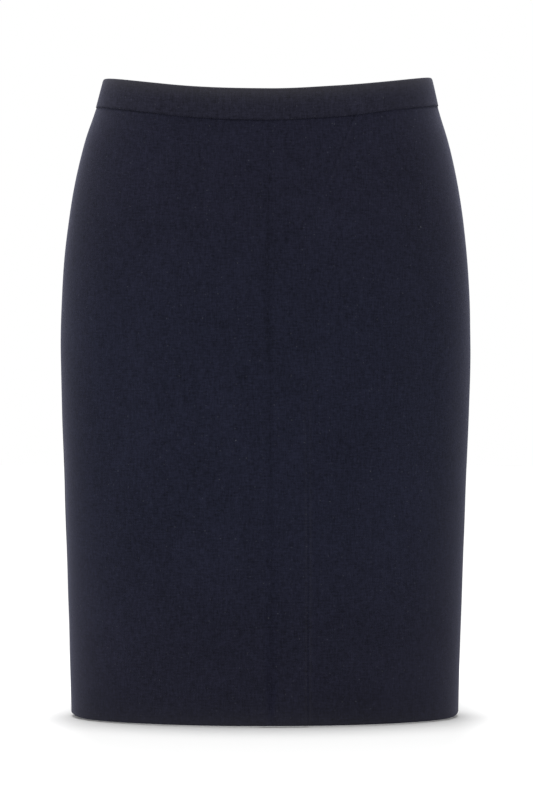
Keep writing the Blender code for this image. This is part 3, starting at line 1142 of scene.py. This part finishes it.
def suiting(name, navy, sheen):
    """Navy suiting: a plain weave with slubs, neps, a little lint, and overlocked raw edges."""
    finish = Finish(name)
    across, along = finish.cut_place()
    shade = 1.0
    layers = []
    for at in (WARP_SLUB, WEFT_SLUB, GRAIN, MOTTLE, CLOUD):
        place = (across * at.across, along * at.along, at.seed)
        layers.append(finish.noise(*place, detail=at.detail, roughness=at.roughness))
        shade = shade + (layers[-1] - 0.5) * at.strength
    warp_slub, weft_slub, grain = layers[:3]

    warp, weft = across.ridges(THREAD_PITCH), along.ridges(THREAD_PITCH)
    over = (across.wave(THREAD_PITCH) * along.wave(THREAD_PITCH)).over(-0.35, 0.35)
    weave = warp * over + weft * (1.0 - over)
    height = weave + (warp_slub + weft_slub) * SLUB_BULK + grain * GRAIN_BULK
    # Below 0 the attribute read here is painted shade, which darkens the colour; above 0 it is a
    # painted highlight, mixed in below.
    rub = finish.attribute("rub")
    shade = shade * (0.90 + weave * 0.16) * (1.0 + rub.math("MINIMUM", 0.0))

    ragged = (grain - 0.5) * RAGGED
    x, y = across + ragged, along - ragged
    narrow, long = NEPS
    warp_nep = finish.flecks(x * narrow, y * long, NEP_SIZE, FEW_NEPS)
    weft_nep = finish.flecks(x * long + 0.4, y * narrow + 0.7, NEP_SIZE, FEW_NEPS)
    lint = finish.flecks(x * LINT_CELLS[0], y * LINT_CELLS[1], LINT_SIZE, LITTLE_LINT)
    midway = 1.0 - (along + MIDWAY_DOWN).math("ABSOLUTE").over(*MIDWAY_FADES)
    dye = finish.mixed(midway, rgba(navy), rgba(MIDWAY_NAVY))
    # Painted highlight: pale grey mixed in where the attribute is above 0.
    colour = finish.mixed(rub.math("MAXIMUM", 0.0), finish.shaded(dye, shade), rgba(PAINTED_HIGHLIGHT_GREY))
    specks = (warp_nep + weft_nep) * NEP_SHOWS + lint * LINT_SHOWS
    colour = finish.mixed(specks, colour, rgba(LINT))

    overlock = 1.0 - finish.attribute("margin").over(*OVERLOCK)
    slant = (across + along).ridges(OVERLOCK_PITCH)
    colour = finish.mixed(overlock * slant.over(0.25, 0.8), colour, rgba(OVERLOCK_NAVY))
    height = height + overlock * slant * OVERLOCK_BULK
    return finish.surface(
        Base_Color=colour,
        Roughness=0.92,
        IOR=1.3,
        Specular_IOR_Level=0.12,
        Sheen_Weight=sheen,
        Sheen_Roughness=0.43,
        Sheen_Tint=rgba(SHEEN_TINT),
        Normal=finish.bump(height, WEAVE_BUMP),
    )


def zip_tape_finish():
    """Fine herringbone tape, dyed to the cloth."""
    finish = Finish("zip tape")
    across, along = finish.cut_place()
    rib = across.ridges(TAPE_RIB_PITCH)
    twill = (along + rib * 0.0011).ridges(TAPE_TWILL_PITCH)
    grain = finish.noise(across * 2600, along * 2600)
    shade = 0.75 + twill * 0.35 + grain * 0.3
    return finish.surface(
        Base_Color=finish.shaded(TAPE_NAVY, shade),
        Roughness=0.85,
        Specular_IOR_Level=0.1,
        Sheen_Weight=0.04,
        Sheen_Tint=rgba(SHEEN_TINT),
        Normal=finish.bump(twill + grain * 0.5, 0.00005),
    )


def teeth_finish():
    """Dyed nylon."""
    finish = Finish("nylon teeth")
    grain = finish.grain(900.0)
    return finish.surface(
        Base_Color=finish.shaded(NYLON_NAVY, 0.8 + grain * 0.4),
        Roughness=0.42 + grain * 0.12,
        Specular_IOR_Level=0.4,
    )


def enamel():
    """Satin navy enamel over metal, worn a little where the hand takes hold."""
    finish = Finish("zip enamel")
    fine, broad = finish.grain(2400.0, 3.0), finish.grain(260.0)
    handled = (fine * 0.35 + broad * 0.65).over(0.56, 0.70)
    colour = finish.shaded(ENAMEL_NAVY, 0.85 + fine * 0.3)
    colour = finish.mixed(handled * 0.35, colour, rgba(WORN_ENAMEL))
    return finish.surface(
        Base_Color=colour,
        Metallic=handled * 0.35 + 0.10,
        Roughness=0.36 + fine * 0.16 - handled * 0.05,
        Specular_IOR_Level=0.32,
        Normal=finish.bump(fine, 0.00001),
    )


def floor_with_painted_light():
    """A pale sweep with painted light round the skirt's foot, but not close to it, which takes out
    the skirt's shadow beside it.
    """
    finish = Finish("floor with painted light")
    grain = finish.grain(3.0)
    place = finish.node("ShaderNodeTexCoord")[3]
    x, y, _ = finish.node("ShaderNodeSeparateXYZ", values={"Vector": place})
    away = ((x / FLOOR_OVAL[0]) ** 4 + (y / FLOOR_OVAL[1]) ** 4) ** 0.25
    painted_light = away.over(*FLOOR_PALES) * (1.0 - away.over(*FLOOR_FADES))
    # The painted light takes the skirt's shadow off the floor beside its foot.
    shade = 0.995 + grain * 0.01 + painted_light * FLOOR_PAINTED_LIGHT
    return finish.surface(
        Base_Color=finish.shaded([FLOOR_TONE] * 3, shade),
        Roughness=1.0,
        Specular_IOR_Level=0.0,
    )


# ---------------- studio


def make_studio():
    scene = bpy.context.scene
    scene.view_settings.view_transform = "Standard"
    world = bpy.data.worlds.new("white studio")
    world.use_nodes = True
    world.node_tree.nodes["Background"].inputs["Color"].default_value = rgba((1.0, 1.0, 1.0))
    world.node_tree.nodes["Background"].inputs["Strength"].default_value = 1.0
    scene.world = world

    builder = bmesh.new()
    bmesh.ops.create_circle(
        builder,
        cap_ends=True,
        segments=96,
        radius=FLOOR_RADIUS,
        matrix=Matrix.Translation((0, 0, HEM - FLOOR_BELOW)),
    )
    floor = mesh_piece("floor", builder, floor_with_painted_light())

    for lamp in LAMPS:
        light = bpy.data.lights.new(lamp.name, "SUN")
        light.energy = lamp.strength
        light.angle = math.radians(lamp.softness)
        obj = collect(bpy.data.objects.new(lamp.name, light))
        aside, behind = (math.tan(math.radians(angle)) for angle in (lamp.aside, lamp.behind))
        obj.rotation_euler = Vector((aside, behind, 1.0)).to_track_quat("Z", "Y").to_euler()


def make_camera():
    camera = bpy.data.cameras.new("camera")
    camera.lens = CAMERA_LENS
    camera.sensor_width = 36.0
    obj = collect(bpy.data.objects.new("camera", camera))
    round_skirt = Matrix.Rotation(CAMERA_ROUND, 4, "Z")
    level = Matrix.Rotation(math.pi / 2, 4, "X")
    rolled = Matrix.Rotation(CAMERA_ROLL, 4, "Z")
    obj.location = round_skirt @ Vector((CAMERA_ASIDE, -CAMERA_DISTANCE, HEM + EYE_ABOVE_HEM))
    obj.rotation_euler = (round_skirt @ level @ rolled).to_euler()
    bpy.context.scene.camera = obj


make_camera()
make_studio()
body_cloth = suiting("navy suiting", NAVY, SHEEN)
band_cloth = suiting("navy suiting, waistband", BAND_NAVY, BAND_SHEEN)
make_panels(body_cloth)
make_waistband(band_cloth)
make_underlay(body_cloth)
make_zip(zip_tape_finish(), teeth_finish(), enamel())
